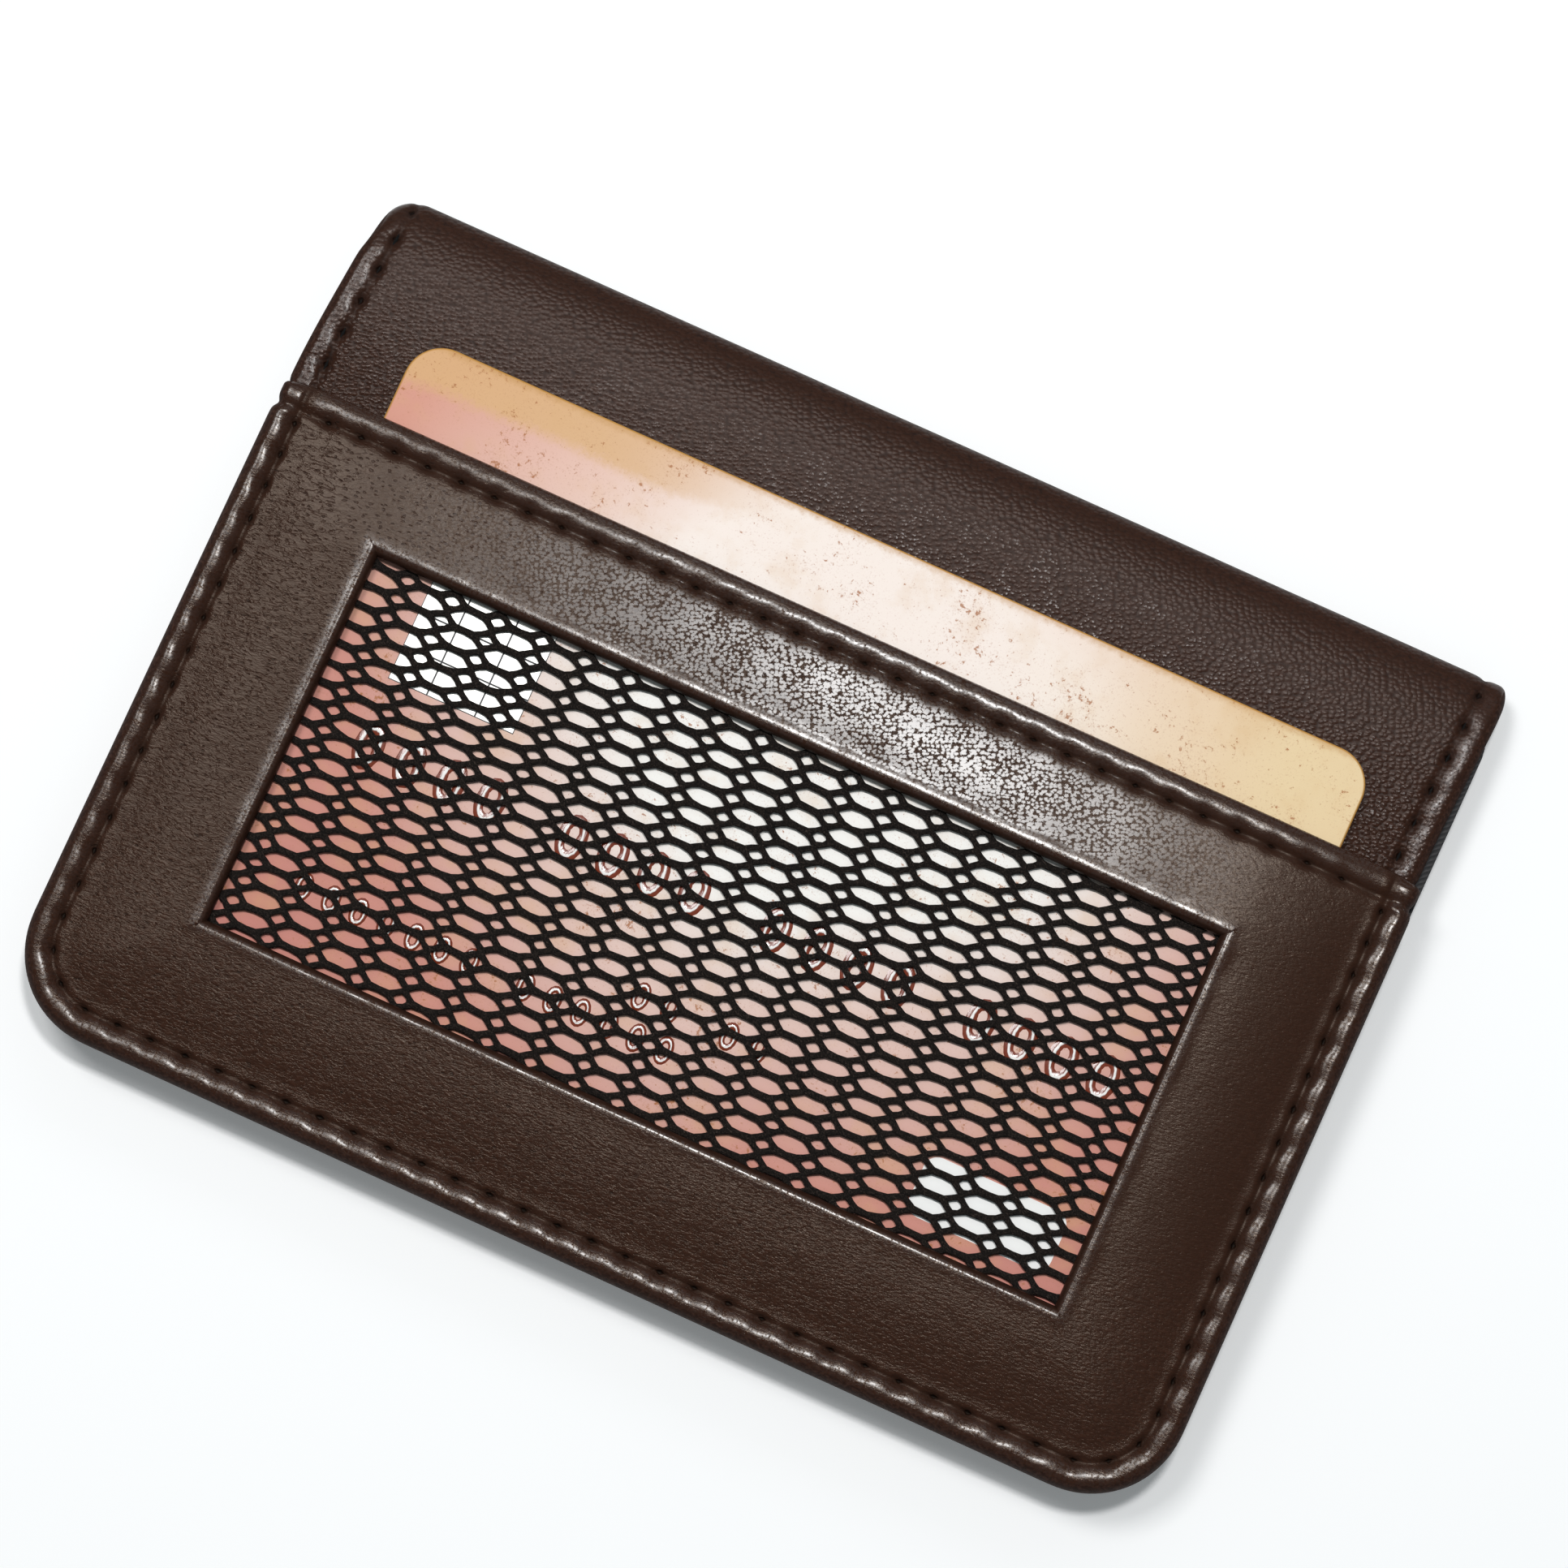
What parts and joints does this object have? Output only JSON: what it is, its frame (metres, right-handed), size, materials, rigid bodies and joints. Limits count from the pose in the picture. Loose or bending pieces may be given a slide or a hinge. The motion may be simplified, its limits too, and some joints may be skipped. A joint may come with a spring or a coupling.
{
  "type": "card wallet",
  "caption": "Slim leather card wallet that folds along its long top edge, with a netted window pocket outside, stepped card slots inside and a card that slides out.",
  "frame": {"origin": "bottom centre of the closed wallet, on the outer face of the back leaf", "axes": "+X along the fold to the right of the window, +Y towards the fold, +Z out of the window panel"},
  "size_m": [0.102, 0.0744, 0.0078],
  "materials": {
    "cover_leather": "semi-gloss pebbled grain",
    "slot_leather": "satin smooth grain",
    "lining_cloth": "matt twill",
    "stiff_board": "bonded fibre board",
    "seam_thread": "waxed thread",
    "black_net": "knitted net",
    "white_tape": "cloth tape",
    "card_print": "satin laminate",
    "chip_metal": "polished contact plate"
  },
  "bodies": {
    "back_leaf": {"back_cover": "cover_leather", "back_board": "stiff_board", "back_lining": "lining_cloth", "back_upper_slot": "slot_leather", "back_lower_slot": "slot_leather", "back_seam_thread": "seam_thread", "spine_leather": "cover_leather", "spine_lining": "lining_cloth"},
    "front_leaf": {"front_lower_slot": "slot_leather", "front_upper_slot": "slot_leather", "front_lining": "lining_cloth", "front_board": "stiff_board", "front_cover": "cover_leather", "left_upper_thread": "seam_thread", "right_upper_thread": "seam_thread", "net_tape": "white_tape", "window_net": "black_net", "panel_board": "stiff_board", "pocket_panel": "cover_leather", "pocket_seam_thread": "seam_thread", "pocket_mouth_thread": "seam_thread"},
    "card": {"card_blank": "card_print", "card_chip": "chip_metal"}
  },
  "joints": [
    {"name": "spine_fold", "type": "hinge", "parent": "back_leaf", "child": "front_leaf", "pos_m": [0, 0.03555, 0.00265], "axis": [-1, 0, 0], "range_deg": [0, 179], "deforming": ["spine_leather", "spine_lining"]},
    {"name": "card_slide", "type": "slide", "parent": "front_leaf", "child": "card", "axis": [0, 1, 0], "range_m": [-0.006, 0.047]}
  ]
}
